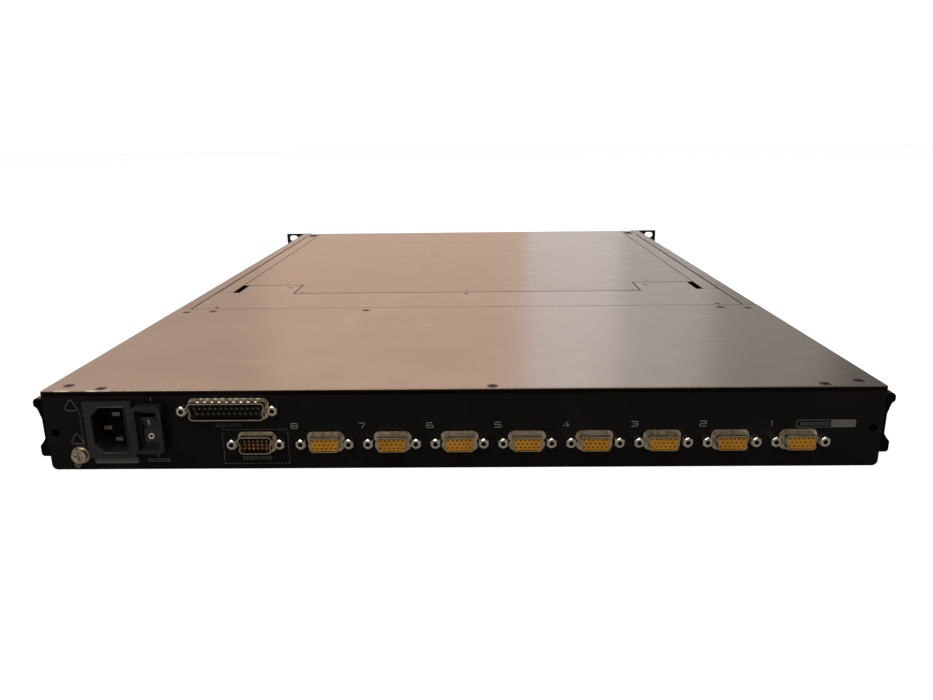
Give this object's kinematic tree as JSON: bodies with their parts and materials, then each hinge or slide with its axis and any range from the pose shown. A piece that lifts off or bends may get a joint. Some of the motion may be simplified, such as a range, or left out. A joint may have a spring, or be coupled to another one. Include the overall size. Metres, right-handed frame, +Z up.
{
  "type": "kvm switch",
  "caption": "Rack-mount console switch: a low sliding drawer with a folding screen, a keyboard and a touchpad, and a rear panel of computer ports with mains inlet and rocker switch.",
  "frame": {"origin": "centre of the closed unit's footprint, on the surface that it stands on", "axes": "+Z up, -Y towards the drawer's front, +Y towards the rear panel, +X to the right of someone facing the front"},
  "size_m": [0.4826, 0.6878, 0.044],
  "materials": {
    "bronze_paint": "satin metallic paint",
    "panel_black": "satin powder coat",
    "chassis_black": "satin powder coat",
    "rail_paint": "satin metallic paint",
    "ear_black": "matt powder coat",
    "screw_black": "black oxide",
    "screw_zinc": "zinc plated",
    "slide_zinc": "zinc plated",
    "ball_steel": "polished",
    "board_green": "solder mask",
    "chip_black": "moulded epoxy",
    "standoff_brass": "plated",
    "shell_nickel": "nickel plated",
    "insert_amber": "moulded",
    "insert_brown": "moulded",
    "insert_black": "moulded",
    "jack_nickel": "nickel plated",
    "inlet_black": "moulded nylon",
    "pin_plated": "bright",
    "switch_black": "moulded nylon",
    "rocker_black": "polished",
    "ground_zinc": "zinc plated",
    "supply_board": "laminate and parts",
    "arm_grey": "satin",
    "cable_sleeve": "braided sleeve",
    "frame_plastic": "fine texture",
    "key_tray": "moulded",
    "keycap": "fine texture",
    "touch_surface": "silky",
    "soft_key": "satin",
    "light_red": "translucent",
    "catch_black": "moulded",
    "front_plastic": "fine texture",
    "stop_rubber": "matt",
    "hinge_steel": "satin",
    "bezel_plastic": "fine texture",
    "screen": "anti-glare glass over the panel"
  },
  "bodies": {
    "base": {"rear_case": "panel_black", "bulkhead": "chassis_black", "arm_shelf": "chassis_black", "rear_cover": "bronze_paint", "cover_screws": "screw_black", "left_outer_rail": "rail_paint", "right_outer_rail": "rail_paint", "left_rack_ear": "ear_black", "right_rack_ear": "ear_black", "ear_screws": "screw_zinc", "left_slide_outer": "slide_zinc", "right_slide_outer": "slide_zinc", "switch_board": "board_green", "board_standoffs": "standoff_brass", "board_chips": "chip_black", "port_shells": "shell_nickel", "port_inserts": "insert_amber", "jack_screws": "jack_nickel", "chain_port_shell": "shell_nickel", "chain_port_insert": "insert_black", "console_port_shell": "shell_nickel", "console_port_insert": "insert_brown", "chain_board": "board_green", "power_inlet": "inlet_black", "inlet_pins": "pin_plated", "power_switch_housing": "switch_black", "ground_screw": "ground_zinc", "power_supply": "supply_board"},
    "rocker": {"power_rocker": "rocker_black"},
    "slide_middles": {"slide_middle_members": "slide_zinc", "slide_balls": "ball_steel"},
    "arm_rear": {"cable_arm_rear": "arm_grey", "cable_arm_rear_cable": "cable_sleeve"},
    "arm_front": {"cable_arm_front": "arm_grey", "cable_arm_front_cable": "cable_sleeve"},
    "drawer": {"drawer_tray": "chassis_black", "hinge_deck": "bronze_paint", "side_trims": "bronze_paint", "drawer_screws": "screw_black", "left_slide_inner": "slide_zinc", "right_slide_inner": "slide_zinc", "keyboard_frame": "frame_plastic", "keyboard_base": "key_tray", "touchpad": "touch_surface", "status_lights": "light_red", "drawer_front": "front_plastic", "lid_stops": "stop_rubber", "hinge_leaves": "hinge_steel"},
    "top_keys": {"number_and_function_keys": "keycap"},
    "letter_key_group": {"letter_keys": "keycap"},
    "bottom_keys": {"bottom_row_keys": "keycap"},
    "pad_left": {"touchpad_left_button": "soft_key"},
    "pad_right": {"touchpad_right_button": "soft_key"},
    "select_buttons": {"port_select_buttons": "soft_key"},
    "catches": {"release_catches": "catch_black"},
    "lid": {"lid_back_cover": "bronze_paint", "lid_bezel": "bezel_plastic", "lcd_screen": "screen", "lid_hinge_arms": "hinge_steel"},
    "lid_buttons": {"lid_control_buttons": "soft_key"}
  },
  "joints": [
    {"name": "drawer_slide", "type": "slide", "parent": "base", "child": "drawer", "axis": [0, -1, 0], "range_m": [0, 0.4]},
    {"name": "middle_slide", "type": "slide", "parent": "base", "child": "slide_middles", "axis": [0, -1, 0], "range_m": [0, 0.2]},
    {"name": "arm_rear_turn", "type": "hinge", "parent": "base", "child": "arm_rear", "pos_m": [-0.185, 0.1569, 0.015], "axis": [0, 0, -1], "range_deg": [0, 34.5]},
    {"name": "arm_front_turn", "type": "hinge", "parent": "arm_rear", "child": "arm_front", "pos_m": [0.165, 0.1569, 0.0266], "axis": [0, 0, 1], "range_deg": [0, 69]},
    {"name": "rocker_tilt", "type": "hinge", "parent": "base", "child": "rocker", "pos_m": [0.1623, 0.3355, 0.0237], "axis": [1, 0, 0], "range_deg": [0, 14]},
    {"name": "lid_hinge", "type": "hinge", "parent": "drawer", "child": "lid", "pos_m": [0, 0.0804, 0.038], "axis": [-1, 0, 0], "range_deg": [0, 110]},
    {"name": "top_key_press", "type": "slide", "parent": "drawer", "child": "top_keys", "axis": [0, 0, -1], "range_m": [0, 0.0025], "stiffness_N_per_m": 6000, "springref_m": -0.0005},
    {"name": "letter_key_press", "type": "slide", "parent": "drawer", "child": "letter_key_group", "axis": [0, 0, -1], "range_m": [0, 0.0025], "stiffness_N_per_m": 8000, "springref_m": -0.0005},
    {"name": "bottom_key_press", "type": "slide", "parent": "drawer", "child": "bottom_keys", "axis": [0, 0, -1], "range_m": [0, 0.0025], "stiffness_N_per_m": 3000, "springref_m": -0.0005},
    {"name": "pad_left_press", "type": "slide", "parent": "drawer", "child": "pad_left", "axis": [0, 0, -1], "range_m": [0, 0.0006], "stiffness_N_per_m": 800, "springref_m": -0.0004},
    {"name": "pad_right_press", "type": "slide", "parent": "drawer", "child": "pad_right", "axis": [0, 0, -1], "range_m": [0, 0.0006], "stiffness_N_per_m": 800, "springref_m": -0.0004},
    {"name": "select_press", "type": "slide", "parent": "drawer", "child": "select_buttons", "axis": [0, 0, -1], "range_m": [0, 0.001], "stiffness_N_per_m": 900, "springref_m": -0.0004},
    {"name": "catch_slide", "type": "slide", "parent": "drawer", "child": "catches", "axis": [0, -1, 0], "range_m": [0, 0.005], "stiffness_N_per_m": 150, "springref_m": -0.002},
    {"name": "lid_button_press", "type": "slide", "parent": "lid", "child": "lid_buttons", "axis": [0, 0, 1], "range_m": [0, 0.0008], "stiffness_N_per_m": 600, "springref_m": -0.0004}
  ],
  "couplings": [
    {"joint": "middle_slide", "follows": "drawer_slide", "ratio": 0.5},
    {"joint": "arm_rear_turn", "follows": "drawer_slide", "rad_per_m": 1.494},
    {"joint": "arm_front_turn", "follows": "drawer_slide", "rad_per_m": 2.988}
  ]
}
